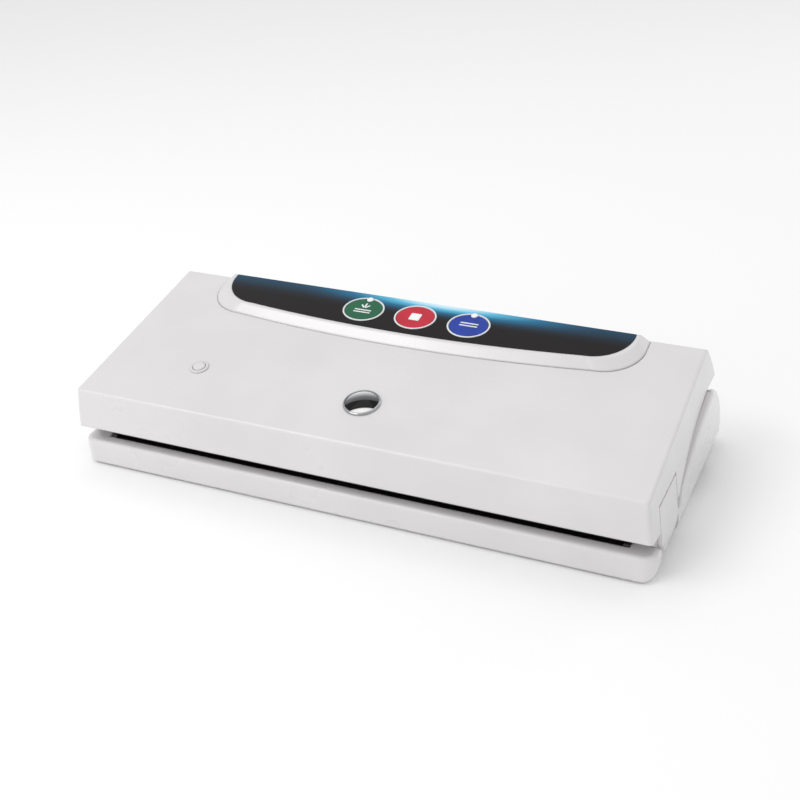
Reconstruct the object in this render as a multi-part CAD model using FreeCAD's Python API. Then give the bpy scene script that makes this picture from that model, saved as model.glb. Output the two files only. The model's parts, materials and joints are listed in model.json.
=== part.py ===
import FreeCAD, Part
import math
import os
from FreeCAD import Vector

# Countertop vacuum sealer: a wide low base, a lid hinged along the back, two side latches and a key panel.
# Millimetres, +Z up, +Y to the back, origin under the middle of the part on the table.

# ---- Base: overall shape --------------------------------------------------------------------------------
base_half_width = 190.0
base_front = -82.0
base_rear = 85.0
base_bottom = 1.5            # the feet stand this proud of the underside
lip_top = 17.8
lip_corner_radius = 9.0
lip_edge_radius = 2.6
deck_rear = base_front + 58.0  # the flat deck ends here and the body rises under the lid
cheek_front = (deck_rear + 3.0, lip_top + 10.7)
cheek_middle = (9.0, 43.5)
hump_top = (52.0, 54.0)
hump_middle = (73.4, 39.6)
tail_top = 15.0
tail_round = (base_rear - 2.8, 4.9)
tail_foot = base_rear - 9.5
end_round = 8.0              # radius along the bottom of each end
end_edge = ((3.4, 0.0), (1.0, 0.8), (0.0, 3.0))   # each step: in from the end, and in from the outline
wall = 2.5
grip_centre = 34.0           # hand grip under each end
grip_length = 46.0
grip_height = 7.0
grip_depth = 20.0

# ---- Hinge ----------------------------------------------------------------------------------------------
hinge_y = 60.0
hinge_z = 50.0
hinge_trough_radius = 11.2
knuckle_radius = 5.2
knuckle_width = 12.0
knuckle_x = base_half_width - 30.0
ear_width = 8.0
pin_radius = 2.0
pin_clearance = 0.05
side_clearance = 0.4

# ---- Lid ------------------------------------------------------------------------------------------------
lid_front = base_front - 3.0
lid_front_top = 56.4
lid_rear_top = (52.8, 80.5)
lid_back_middle = (62.6, 67.2)
lid_back_bottom = (68.6, 55.8)
lid_top_half = base_half_width - 5.0
lid_flare = 0.115            # how far each side leans out for each millimetre down
lid_taper = 0.0107           # how far each side comes in for each millimetre back
lid_wall = 2.4
lid_edge = lip_top + 8.7
fascia_bottom = lid_edge + 2.8
fascia_crown = 0.4
split_gap = 1.7
lid_edge_radius = 1.8
lid_corner_radius = 2.6
liner_rise = 1.0
liner_thickness = 2.2
fit_gap = 0.2

# ---- Sealing line ---------------------------------------------------------------------------------------
heater_front = base_front + 7.8
heater_width = 13.0
heater_half = base_half_width - 17.0
heater_depth = 5.0
ribbon_width = 4.0
ribbon_thickness = 0.2
tape_thickness = 0.3
bag_gap = 0.4
press_width = 8.0
press_height = 3.5
clamp_length = 4.0
clamp_height = 0.8
clamp_screw_radius = 1.3
clamp_screw_offset = 3.2
gasket_front = heater_front + heater_width + 2.2
gasket_rear = deck_rear - 3.5
gasket_half = base_half_width - 24.0
gasket_width = 5.5
gasket_corner = 8.0
gasket_groove = 1.2
gasket_height = 5.4
trough_margin = 1.8
trough_depth = 7.5
tub_wall = 2.0

# ---- Side latches ---------------------------------------------------------------------------------------
latch_front = base_front + 14.5
latch_rear = latch_front + 36.0
latch_top = lid_front_top - 13.2
latch_tip = lip_top - 5.8
latch_tip_radius = 8.0
latch_knee = lip_top - 1.8   # the flap turns straight down below this height
latch_thickness = 2.6
latch_gap = 0.45
latch_top_gap = 1.1          # room for the top edge as the flap swings out
latch_pivot_x = base_half_width - 8.3
latch_pivot_z = latch_top - 3.2
latch_pin_radius = 1.25
latch_knuckle = 2.6
latch_ear = 2.4
latch_ear_inset = 0.6
latch_ear_inner = 3.0        # how far each lug reaches either side of the pin
latch_ear_outer = 1.9
latch_ear_drop = 3.2
latch_pocket = 0.9           # clearance behind the flap for the lugs
recess_front = 1.2           # the base pocket is this much longer than the flap at its front
recess_rear = 1.6
latch_eye_inset = 4.4
recess_depth = 8.0
catch_reach = 1.8
catch_z = lip_top - 2.5
catch_thickness = 2.0
catch_half = 7.0
hook_reach = 2.0
hook_drop = 0.9              # room above the hook while it swings under the catch
latch_clearance = 0.7        # between hook and catch while the latch hangs free

# ---- Control panel (sizes in the plane of the lid top: u across, v up the slope, w out of it) ------------
panel_height = 4.6
panel_rear_gap = 1.9
panel_half = 149.5
panel_front_v = 94.2
panel_sag = 7.6
panel_corner = 26.0
panel_bevel = 6.2
overlay_inset = 8.6
overlay_depth = 1.2
panel_floor = 1.6
key_pitch = 36.8
key_v = 120.8
key_length = 25.4
key_width = 22.6
key_rim = 1.1
key_proud = 0.5
key_cap = 1.9
key_travel = 0.6             # the keys go down by 0.5
key_clearance = 0.3
lamp_radius = 2.3
lamp_offset = 10.9
board_drop = 7.0
board_post = (6.0, 5.0)      # in from the window's ends and sides
board_post_radius = 2.6
board_screw_radius = 0.9
board_thickness = 1.6
switch_height = 3.4
window_half = 62.0
window_front_v = 104.0
window_rear_v = 135.0

# ---- Sight lens and release valve -------------------------------------------------------------------------
sight_v = 36.2
bezel_radius = 11.6
bezel_bore = 10.5
bezel_height = 1.5
bezel_seat = 0.4             # the lens stands this far above the lid
bezel_tube = 10.2
bezel_wall = 2.2
bezel_depth = 7.0
bezel_round = 0.9
lens_edge = 0.9
lens_rise = 3.4
valve_u = -117.4
valve_v = 41.6
collar_radius = 6.2
collar_height = 0.9
collar_bore = 4.3
valve_proud = 1.5            # the button goes down by 1.2, until it is almost level with its collar
valve_clearance = 0.3
valve_cap = 4.5
valve_cup_depth = 6.5
valve_guide_depth = 8.0
valve_guide_wall = 0.95
valve_stem = 1.2
valve_stem_hole = 1.4
valve_stem_end = 10.5
valve_washer = (3.2, 1.0)     # radius and thickness

# ---- Inside the base ------------------------------------------------------------------------------------
floor_thickness = 2.0
boss_radius = 3.6
screw_radius = 1.4
screw_head = 2.8
screw_head_height = 1.7
foot_radius = 8.0
foot_socket = 1.4
motor_radius = 13.5
motor_length = 38.0
motor_x = 74.0
motor_y = 14.0
motor_z = 21.0
saddle_half = (14.0, 12.0)
strap_half = 9.0
strap_thickness = 2.0
pump_length = 34.0
pump_half = 14.5
crank_radius = 9.0
crank_throw = 2.0
shaft_radius = 1.5
shaft_clearance = 0.06
hose_radius = 2.6
hose_bore = 1.5
port_height = 2.2            # air fitting above the trough floor
hose_bend = 11.0
port_x = -8.0
core_x = -92.0
core_y = 14.0
core_size = (50.0, 26.0, 31.0)
core_leg = 8.0
coil_depth = 39.0
board_size = (118.0, 32.0, 1.6)
board_y = 57.0
board_z = 8.6
# On the main board: the middle across, then width, depth and height of each part
relay_place = (-34.5, 19.0, 16.0, 15.0)
terminals_place = (45.0, 14.0, 10.0, 9.0)
heat_sink_place = (18.0, 24.0, 14.0, 14.0)
heat_sink_fins = 5
heat_sink_fin = 1.6
heat_sink_plate = 2.0
capacitor_place = (-10.0, 5.0, 14.0)   # the middle across, radius and height
inlet_x = -142.0
inlet_z = 13.2
inlet_width = 20.0
inlet_height = 12.6
inlet_length = 18.0
inlet_pin_radius = 1.2
inlet_pin_spacing = 8.6
inlet_pin_start = 4.0        # the pins stop this far inside the mouth
switch_x = base_half_width - 16.0
plunger_gap = 0.3            # the lid stops this far above each plunger

pitch = math.degrees(math.atan2(lid_rear_top[1] - lid_front_top, lid_rear_top[0] - lid_front))
lid_length = math.hypot(lid_rear_top[1] - lid_front_top, lid_rear_top[0] - lid_front)
far = 400.0                  # longer than the part, for cutting solids
eps = 1e-4


# ---- Shape helpers --------------------------------------------------------------------------------------
def box(x0, x1, y0, y1, z0, z1):
    """A block between two corners."""
    return Part.makeBox(x1 - x0, y1 - y0, z1 - z0, Vector(x0, y0, z0))


def rod(radius, start, end):
    """A round bar from one point to another."""
    a = Vector(*start)
    b = Vector(*end)
    return Part.makeCylinder(radius, (b - a).Length, a, b - a)


def tube(radius, bore, start, end):
    """A round bar with a hole right through it."""
    return rod(radius, start, end).cut(rod(bore, start, end))


def mirrored(shape):
    """The same piece on the other end of the part."""
    return shape.mirror(Vector(0, 0, 0), Vector(1, 0, 0))


def both_ends(shape):
    """A piece and its mirror image as one shape."""
    return shape.fuse(mirrored(shape))


def pair(shape):
    """Two separate solids, one for each end, kept in one node."""
    return Part.makeCompound(shape.Solids + mirrored(shape).Solids)


def side(y, z):
    """A point of an outline seen from the end of the part."""
    return Vector(0, y, z)


def line(a, b):
    """A straight edge."""
    return Part.LineSegment(a, b).toShape()


def arc(a, b, c):
    """A round edge through three points."""
    return Part.Arc(a, b, c).toShape()


def slab(edges, half):
    """A closed outline in the side view, made solid across the part."""
    face = Part.Face(Part.Wire(edges))
    face.translate(Vector(-half, 0, 0))
    return face.extrude(Vector(2 * half, 0, 0))


def rounded_plate(half_u, half_v, radius, height):
    """A plate with round corners, centred on the origin, from w = 0 up."""
    plate = Part.makeBox(2 * half_u, 2 * half_v, height, Vector(-half_u, -half_v, 0))
    corners = [e for e in plate.Edges if abs(e.Vertexes[0].X - e.Vertexes[1].X) < eps
               and abs(e.Vertexes[0].Y - e.Vertexes[1].Y) < eps]
    return plate.makeFillet(radius, corners)


def oval(length, width, height):
    """An upright oval bar, centred on the origin, from w = 0 up."""
    ellipse = Part.Ellipse(Vector(0, 0, 0), length / 2, width / 2).toShape()
    return Part.Face(Part.Wire([ellipse])).extrude(Vector(0, 0, height))


def on_lid(shape, u=0.0, v=0.0, w=0.0):
    """Places a shape drawn in the plane of the lid top."""
    placed = shape.copy()
    placed.translate(Vector(u, v, w))
    placed.rotate(Vector(0, 0, 0), Vector(1, 0, 0), pitch)
    placed.translate(Vector(0, lid_front, lid_front_top))
    return placed


def edges_where(shape, test):
    """Edges whose middle point passes a test."""
    chosen = []
    for edge in shape.Edges:
        middle = edge.valueAt((edge.FirstParameter + edge.LastParameter) / 2)
        if test(middle, edge):
            chosen.append(edge)
    return chosen


def save(name, shape):
    """Writes one piece to its own file."""
    shape.exportStep("parts/" + name + ".step")


# ---- Base -----------------------------------------------------------------------------------------------
def base_outline(inset):
    """The side view of the base, drawn in from its faces by an inset; an inset one is open below."""
    front = base_front + inset
    lip = lip_top - inset
    deck_end = side(deck_rear + inset, lip)
    cheek = side(cheek_front[0] + inset, cheek_front[1] - inset / 2)
    top = side(hump_top[0], hump_top[1] - inset)
    tail = side(base_rear - inset, tail_top)
    edges = [line(side(front, lip), deck_end),
             line(deck_end, cheek),
             arc(cheek, side(cheek_middle[0], cheek_middle[1] - inset), top),
             arc(top, side(hump_middle[0] - inset * 0.7, hump_middle[1] - inset * 0.7), tail)]
    if inset:
        sill = base_bottom + floor_thickness
        corners = [tail, side(tail_foot, sill + inset), side(tail_foot - inset, sill),
                   side(tail_foot - inset, -far),
                   side(front, -far), side(front, lip)]
        edges += [line(a, b) for a, b in zip(corners, corners[1:])]
    else:
        foot = side(tail_foot, base_bottom)
        edges += [arc(tail, side(*tail_round), foot), line(foot, side(front, base_bottom)),
                  line(side(front, base_bottom), side(front, lip))]
    return edges


def base_solid():
    """The outer shape of the base before it is hollowed."""
    body = slab(base_outline(0.0), base_half_width)
    uprights = edges_where(body, lambda p, e: abs(p.y - base_front) < eps
                           and abs(abs(p.x) - base_half_width) < eps)
    body = body.makeFillet(lip_corner_radius, uprights)
    rim = edges_where(body, lambda p, e: abs(p.z - lip_top) < eps and p.y < deck_rear - 1
                      and (p.y < base_front + lip_corner_radius or abs(abs(p.x) - base_half_width) < eps))
    body = body.makeFillet(lip_edge_radius, rim)
    return body.common(end_trim()).cut(both_ends(end_cutter(end_round)))


def end_trim():
    """The base's outline as a long bar whose upper edges step in towards each end."""
    steps = [(base_half_width - back, inset) for back, inset in end_edge]
    wires = [upper_outline(-x, inset) for x, inset in reversed(steps)]
    wires += [upper_outline(x, inset) for x, inset in steps]
    return Part.makeLoft(wires, True, True)


def upper_outline(x, inset):
    """The top and back of the base at one place across it, drawn in by an inset, open far below."""
    lip = lip_top - inset
    deck_end = Vector(x, deck_rear + inset, lip)
    cheek = Vector(x, cheek_front[0] + inset, cheek_front[1] - inset / 2)
    middle = Vector(x, cheek_middle[0], cheek_middle[1] - inset)
    top = Vector(x, hump_top[0], hump_top[1] - inset)
    back = Vector(x, hump_middle[0] - inset * 0.8, hump_middle[1] - inset * 0.6)
    tail = Vector(x, base_rear - inset, tail_top)
    low_back = Vector(x, base_rear - inset, -lip_top)
    low_front = Vector(x, base_front, -lip_top)
    front = Vector(x, base_front, lip)
    return Part.Wire([line(front, deck_end), line(deck_end, cheek), arc(cheek, middle, top), arc(top, back, tail),
                      line(tail, low_back), line(low_back, low_front), line(low_front, front)])


def end_cutter(radius):
    """What a rounded bottom edge leaves off the right end: all that lies outside its radius."""
    centre_x = base_half_width - end_round
    centre_z = base_bottom + end_round
    corner = box(centre_x, far, -far, far, -far, centre_z)
    return corner.cut(rod(radius, (centre_x, -far, centre_z), (centre_x, far, centre_z)))


def latch_recess(grow):
    """The pocket in the right end of the base that the latch hangs in."""
    return box(base_half_width - recess_depth - grow, far, latch_front - recess_front - grow,
               latch_rear + recess_rear + grow,
               -far, far)


def base_cavity():
    """The hollow inside of the base, open to the floor."""
    hollow = slab(base_outline(wall), base_half_width - wall)
    plan = rounded_plate(base_half_width - wall, far / 2, lip_corner_radius - wall, 2 * far)
    plan.translate(Vector(0, base_front + wall + far / 2, -far))
    hollow = hollow.common(plan).cut(both_ends(end_cutter(end_round - wall)))
    hollow = hollow.cut(both_ends(latch_recess(wall)))
    hollow = hollow.cut(rod(hinge_trough_radius + wall, (-far, hinge_y, hinge_z), (far, hinge_y, hinge_z)))
    hollow = hollow.cut(both_ends(grip(wall)))
    return hollow


def grip(grow):
    """The hand grip scooped under the right end."""
    half = grip_length / 2
    radius = (half * half + grip_height * grip_height) / (2 * grip_height)
    centre_z = base_bottom + grip_height - radius
    return rod(radius + grow, (base_half_width - grip_depth - grow, grip_centre, centre_z),
               (far, grip_centre, centre_z))


def ring_plate(front, rear, half, width, corner, height):
    """A flat ring with round corners that runs round the vacuum trough."""
    centre = (front + rear) / 2
    outer = rounded_plate(half, (rear - front) / 2, corner, height)
    inner = rounded_plate(half - width, (rear - front) / 2 - width, corner - width + 1.0, height)
    ring = outer.cut(inner)
    ring.translate(Vector(0, centre, 0))
    return ring


def trough(grow, depth):
    """The long pocket that air is drawn from."""
    margin = gasket_width + trough_margin - grow
    plate = rounded_plate(gasket_half - margin, (gasket_rear - gasket_front) / 2 - margin, 3.0, depth)
    plate.translate(Vector(0, (gasket_front + gasket_rear) / 2, lip_top - depth))
    return plate


def heater_slot(grow):
    """The slot in the deck that the heating bar lies in."""
    return box(-heater_half - grow, heater_half + grow, heater_front - grow,
               heater_front + heater_width + grow,
               lip_top - heater_depth - grow, lip_top)


screw_x = base_half_width - 40.0
bottom_screws = [(-screw_x, -18.0), (-30.0, -18.0), (screw_x, -18.0), (-115.0, 66.0), (88.0, 66.0),
                 (screw_x, 24.0)]
front_foot = (base_half_width - 30.0, base_front + 14.0)
rear_foot = (base_half_width - 36.0, 60.0)
foot_places = [(sign * x, y) for x, y in (front_foot, rear_foot) for sign in (-1, 1)]


def floor_plate(gap):
    """The flat bottom plate, less a gap all round."""
    low = base_bottom
    high = base_bottom + floor_thickness
    half = base_half_width - end_round - gap
    plate = box(-half, half, base_front + wall + gap, tail_foot - wall - gap, low, high)
    plate = plate.cut(both_ends(latch_recess(wall + gap)))
    return plate.cut(both_ends(grip(wall + gap)))


def make_base_housing():
    """Outer moulding of the base: lip, deck, trough, ends, hump, hinge ears and catches."""
    cavity = base_cavity()
    shell = base_solid().cut(both_ends(latch_recess(0.0)))
    shell = shell.cut(cavity)
    shell = shell.cut(both_ends(grip(0.0)))
    tub = trough(tub_wall, trough_depth + tub_wall)
    bed = heater_slot(tub_wall)
    shell = shell.fuse([tub, bed])
    shell = shell.cut(trough(0.0, trough_depth))
    shell = shell.cut(heater_slot(fit_gap))
    groove = ring_plate(gasket_front, gasket_rear, gasket_half, gasket_width, gasket_corner, gasket_groove)
    groove.translate(Vector(0, 0, lip_top - gasket_groove))
    shell = shell.cut(groove)
    clear_half = base_half_width - wall - side_clearance
    shell = shell.cut(rod(hinge_trough_radius, (-clear_half, hinge_y, hinge_z),
                          (clear_half, hinge_y, hinge_z)))
    ears = [hinge_ear(knuckle_x - knuckle_width / 2 - side_clearance - ear_width),
            hinge_ear(knuckle_x + knuckle_width / 2 + side_clearance)]
    pin_hole = rod(pin_radius, (knuckle_x - far / 4, hinge_y, hinge_z),
                   (knuckle_x + far / 4, hinge_y, hinge_z))
    ears = [both_ends(ear.cut(pin_hole)) for ear in ears]
    wall_x = base_half_width - recess_depth
    middle = (latch_front + latch_rear) / 2
    catch = box(wall_x - wall / 2, wall_x + catch_reach, middle - catch_half, middle + catch_half,
                catch_z, catch_z + catch_thickness)
    bosses = [boss(x, y, cavity) for x, y in bottom_screws]
    shell = shell.fuse(ears + [both_ends(catch)] + bosses)
    shell = shell.cut([rod(screw_radius, (x, y, base_bottom), (x, y, base_bottom + 11.0)) for x,
                       y in bottom_screws])
    shell = shell.cut([port_hole(), inlet_hole()])
    for centre in (-switch_x, switch_x):
        shell = shell.cut(plunger_hole(centre))
    return shell.removeSplitter()


def hinge_ear(x0):
    """An upright in the hinge trough that holds one end of a hinge pin."""
    eye = rod(knuckle_radius, (x0, hinge_y, hinge_z), (x0 + ear_width, hinge_y, hinge_z))
    low = hinge_z - hinge_trough_radius - wall / 2
    post = box(x0, x0 + ear_width, hinge_y - knuckle_radius, hinge_y + 1.5, low, hinge_z)
    return eye.fuse(post)


def boss(x, y, cavity):
    """A screw boss from the bottom plate up to the moulding above it."""
    return rod(boss_radius, (x, y, base_bottom + floor_thickness), (x, y, far)).common(cavity)


def port_hole():
    """The hole in the back wall of the trough for the air fitting."""
    margin = gasket_width + trough_margin
    y = gasket_rear - margin
    return rod(hose_bore + 0.8, (port_x, y - 1.0, port_z()), (port_x, y + tub_wall + 1.0, port_z()))


def inlet_hole():
    """The opening in the back of the hump for the power inlet."""
    plate = rounded_plate(inlet_width / 2, inlet_height / 2, inlet_height / 2 - 0.6, inlet_length)
    plate.rotate(Vector(0, 0, 0), Vector(1, 0, 0), 90)
    plate.translate(Vector(inlet_x, base_rear + 2.0, inlet_z))
    return plate


def plunger_hole(x):
    """The small hole in the deck that a lid switch plunger comes up through."""
    return rod(2.2, (x, switch_y(), lip_top - wall - 1.0), (x, switch_y(), lip_top + 1.0))


def switch_y():
    """The lid switches stand beside the front of the body, behind the latches."""
    return (latch_rear + deck_rear) / 2 + 0.6


def make_base_floor():
    """The bottom plate with its feet sockets and screw holes."""
    plate = floor_plate(fit_gap)
    for x, y in bottom_screws:
        plate = plate.cut(rod(screw_radius + fit_gap, (x, y, 0), (x, y, far)))
        plate = plate.cut(rod(screw_head + fit_gap, (x, y, 0),
                              (x, y, base_bottom + screw_head_height - 0.5)))
    for x, y in foot_places:
        plate = plate.cut(rod(foot_radius, (x, y, 0), (x, y, base_bottom + foot_socket)))
    vents = [box(motor_x - 12 + 6 * i, motor_x - 9 + 6 * i, 32.0, 62.0, 0, far) for i in range(5)]
    return plate.cut(vents)


def make_base_screws():
    """Six pan-head screws that hold the bottom plate."""
    screws = []
    low = base_bottom + screw_head_height - 0.5
    for x, y in bottom_screws:
        head = rod(screw_head, (x, y, low - screw_head_height + 0.6), (x, y, low))
        shank = rod(screw_radius, (x, y, low), (x, y, base_bottom + 10.0))
        cross = box(x - 1.6, x + 1.6, y - 0.35, y + 0.35, 0, low - 0.7)
        cross = cross.fuse(box(x - 0.35, x + 0.35, y - 1.6, y + 1.6, 0, low - 0.7))
        screws.append(head.fuse(shank).cut(cross))
    return Part.makeCompound(screws)


def make_feet():
    """Four soft feet pressed into the bottom plate."""
    feet = []
    for x, y in foot_places:
        foot = rod(foot_radius, (x, y, 0), (x, y, base_bottom + foot_socket))
        feet.append(foot.makeFillet(0.6, edges_where(foot, lambda p, e: abs(p.z) < eps)))
    return Part.makeCompound(feet)


# ---- Sealing line ---------------------------------------------------------------------------------------
def heater_centre():
    """The line down the middle of the heating bar."""
    return heater_front + heater_width / 2


def make_heater_bar():
    """Heat-proof carrier that lies in the deck slot."""
    low = lip_top - heater_depth
    bar = box(-heater_half, heater_half, heater_front, heater_front + heater_width, low, lip_top)
    return bar.cut(box(-far, far, heater_centre() - ribbon_width / 2, heater_centre() + ribbon_width / 2,
                       lip_top - ribbon_thickness, lip_top))


def make_heater_ribbon():
    """Flat resistance ribbon along the bar, between the end clamps."""
    end = heater_half - fit_gap
    return box(-end, end, heater_centre() - ribbon_width / 2, heater_centre() + ribbon_width / 2,
               lip_top - ribbon_thickness, lip_top)


def make_heater_tape():
    """Black non-stick tape over the ribbon."""
    end = heater_half - clamp_length - fit_gap
    return box(-end, end, heater_front, heater_front + heater_width, lip_top, lip_top + tape_thickness)


def make_heater_clamps():
    """The two end clamps that hold the ribbon down."""
    clamp = box(heater_half - clamp_length, heater_half, heater_front + 1.0,
                heater_front + heater_width - 1.0,
                lip_top, lip_top + clamp_height)
    screw_place = (heater_half - clamp_length / 2, heater_centre() + clamp_screw_offset)
    screw = rod(clamp_screw_radius, (*screw_place, lip_top), (*screw_place, lip_top + 2 * clamp_height))
    return pair(clamp.fuse(screw))


def gasket(low, height):
    """A foam ring round the trough."""
    ring = ring_plate(gasket_front, gasket_rear, gasket_half, gasket_width, gasket_corner, height)
    ring.translate(Vector(0, 0, low))
    top = edges_where(ring, lambda p, e: abs(p.z - low - height) < eps)
    return ring.makeFillet(1.2, top)


def make_lower_seal():
    """Foam ring in the deck groove."""
    return gasket(lip_top - gasket_groove, gasket_height)


def seal_top():
    """The face where the two foam rings meet."""
    return lip_top - gasket_groove + gasket_height


def make_upper_seal():
    """Foam ring under the lid, a bag's thickness above the lower one."""
    low = seal_top() + bag_gap
    ring = ring_plate(gasket_front, gasket_rear, gasket_half, gasket_width, gasket_corner,
                      lid_edge + liner_rise - low)
    ring.translate(Vector(0, 0, low))
    return ring


def make_press_strip():
    """Heat-proof rubber strip that presses the bag on the ribbon."""
    low = lip_top + tape_thickness + bag_gap
    strip = box(-heater_half, heater_half, heater_centre() - press_width / 2,
                heater_centre() + press_width / 2,
                low, low + press_height)
    foot = edges_where(strip, lambda p, e: abs(p.z - low) < eps and e.Length > far / 2)
    strip = strip.makeFillet(1.0, foot)
    clear = both_ends(box(heater_half - clamp_length - 1.0, far, -far, far, 0, low + 1.6))
    return strip.cut(clear)


# ---- Lid ------------------------------------------------------------------------------------------------
def lid_width_block(inset):
    """The leaning ends of the lid, a little closer together at the back, in line with the top."""
    origin = Vector(0, 0, 0)
    side_block = box(-far, 0, -far, far, -far, far)
    side_block.rotate(origin, Vector(0, 1, 0), -math.degrees(math.atan(lid_flare)))
    side_block.rotate(origin, Vector(0, 0, 1), math.degrees(math.atan(lid_taper)))
    side_block.translate(Vector(lid_top_half - inset, 0, 0))
    return on_lid(side_block.common(mirrored(side_block)))


def lid_underside(lift, front, rear):
    """The lower edge of the lid seen from the end, from front to back, as joined edges."""
    apron = side(latch_front + 1.5, lid_edge + lift)
    slope = (fascia_bottom - lid_edge) / (latch_front + 1.5 - lid_front)
    chin = side(front, lid_edge + lift + (apron.y - front) * slope)
    deck_point = side(deck_rear - 2.5, lid_edge + lift)
    cheek = side(cheek_front[0] - 1.0, cheek_front[1] + split_gap + lift)
    middle = side(cheek_middle[0], cheek_middle[1] + split_gap + lift)
    top = side(hump_top[0] - 2.0, hump_top[1] + split_gap + lift)
    back = side(rear, hump_top[1] + split_gap + lift)
    return [line(chin, apron), line(apron, deck_point), line(deck_point, cheek), arc(cheek, middle, top),
            line(top, back)]


def lid_profile():
    """The whole side view of the lid."""
    lower = lid_underside(0.0, lid_front + fascia_crown, lid_back_bottom[0])
    back_bottom = lower[-1].Vertexes[-1].Point
    chin = lower[0].Vertexes[0].Point
    rear_top = side(*lid_rear_top)
    front_top = side(lid_front + fascia_crown, lid_front_top)
    brow = side(lid_front, (lid_front_top + fascia_bottom) / 2)
    return lower + [arc(back_bottom, side(*lid_back_middle), rear_top), line(rear_top, front_top),
                    arc(front_top, brow, chin)]


def lid_solid():
    """The outer shape of the lid before it is hollowed."""
    body = slab(lid_profile(), far / 2).common(lid_width_block(0.0))
    corners = edges_where(body, lambda p, e: p.y < lid_front + 1.0 and abs(p.x) > lid_top_half / 2)
    body = body.makeFillet(lid_corner_radius, corners)
    slope = math.tan(math.radians(pitch))
    rim = edges_where(body, lambda p, e: abs(p.z - lid_front_top - (p.y - lid_front) * slope) < 0.35)
    return body.makeFillet(lid_edge_radius, rim)


def lid_cavity(gap):
    """The hollow inside of the lid, open below."""
    drop = (lid_wall + gap) / math.cos(math.radians(pitch))
    inset = lid_wall + gap
    front = lid_front + fascia_crown + inset
    slope = math.tan(math.radians(pitch))
    rear_y = lid_rear_top[0] - inset * 0.6
    corners = [side(front, -far), side(front, lid_front_top + (front - lid_front) * slope - drop),
               side(rear_y, lid_front_top + (rear_y - lid_front) * slope - drop),
               side(lid_back_middle[0] - inset, lid_back_middle[1] - inset * 0.4),
               side(lid_back_bottom[0] - inset, lid_back_bottom[1]),
               side(lid_back_bottom[0] - inset, -far)]
    edges = [line(a, b) for a, b in zip(corners, corners[1:] + corners[:1])]
    return slab(edges, far / 2).common(lid_width_block(inset))


lid_screw_places = [(sign * x, y) for x, y in ((base_half_width - 22.0, 36.0), (80.0, 36.0), (120.0, -12.0))
                    for sign in (-1, 1)]


def liner_top(y):
    """Height of the liner's upper face on the curved part behind the deck."""
    probe = Part.Wire(lid_underside(liner_rise + liner_thickness, lid_front, lid_back_bottom[0]))
    ray = line(side(y, -far), side(y, far))
    return probe.distToShape(ray)[1][0][0].z


def screw_seat(y):
    """Height of the face that a lid screw's head bears on."""
    return liner_top(y) - liner_thickness / 2


def latch_window():
    """The gap in the right end of the lid that the latch fills."""
    return box(lid_top_half - recess_depth, far, latch_front - latch_gap, latch_rear + latch_gap,
               -far, latch_top + latch_top_gap)


def latch_ear_places():
    """Where the two lugs of a latch start along the lid."""
    return (latch_front + latch_ear_inset, latch_rear - latch_ear_inset - latch_ear)


def latch_ears():
    """Two lugs inside the right end of the lid that hold the latch pin."""
    lugs = []
    inner = latch_pivot_x - latch_ear_inner
    for y in latch_ear_places():
        hang = box(inner, latch_pivot_x + latch_ear_outer, y, y + latch_ear, latch_pivot_z - latch_ear_drop,
                   far)
        arm = box(inner, far, y, y + latch_ear, latch_top + latch_top_gap, far)
        lugs.append(hang.fuse(arm))
    cut = rod(latch_pin_radius, (latch_pivot_x, -far, latch_pivot_z), (latch_pivot_x, far, latch_pivot_z))
    return lugs[0].fuse(lugs[1]).cut(cut)


def make_lid_cover():
    """Outer moulding of the lid."""
    cavity = lid_cavity(0.0)
    shell = lid_solid().cut(cavity)
    liner_edges = lid_underside(liner_rise + liner_thickness, lid_front, lid_back_bottom[0])
    first = liner_edges[0].Vertexes[0].Point
    last = liner_edges[-1].Vertexes[-1].Point
    below = [line(last, side(last.y, -far)), line(side(last.y, -far), side(first.y, -far)),
             line(side(first.y, -far), first)]
    room = cavity.cut(slab(liner_edges + below, far / 2))
    bosses = []
    holes = []
    for x, y in lid_screw_places:
        bosses.append(rod(boss_radius, (x, y, 0), (x, y, far)).common(room))
        holes.append(rod(screw_radius, (x, y, 0), (x, y, liner_top(y) + 9.0)))
        holes.append(rod(screw_head + fit_gap, (x, y, 0), (x, y, screw_seat(y))))
    ears = latch_ears().common(cavity)
    shell = shell.fuse(bosses + [ears, mirrored(ears)])
    shell = shell.cut(holes + [latch_window(), mirrored(latch_window())])
    openings = [on_lid(box(-window_half, window_half, window_front_v, window_rear_v, -lid_wall * 2,
                           far / 4)),
                on_lid(rod(bezel_tube, (0, 0, -far / 8), (0, 0, far / 8)), 0, sight_v),
                on_lid(rod(collar_bore + 1.0, (0, 0, -far / 8), (0, 0, far / 8)), valve_u, valve_v)]
    return shell.cut(openings).removeSplitter()


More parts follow.
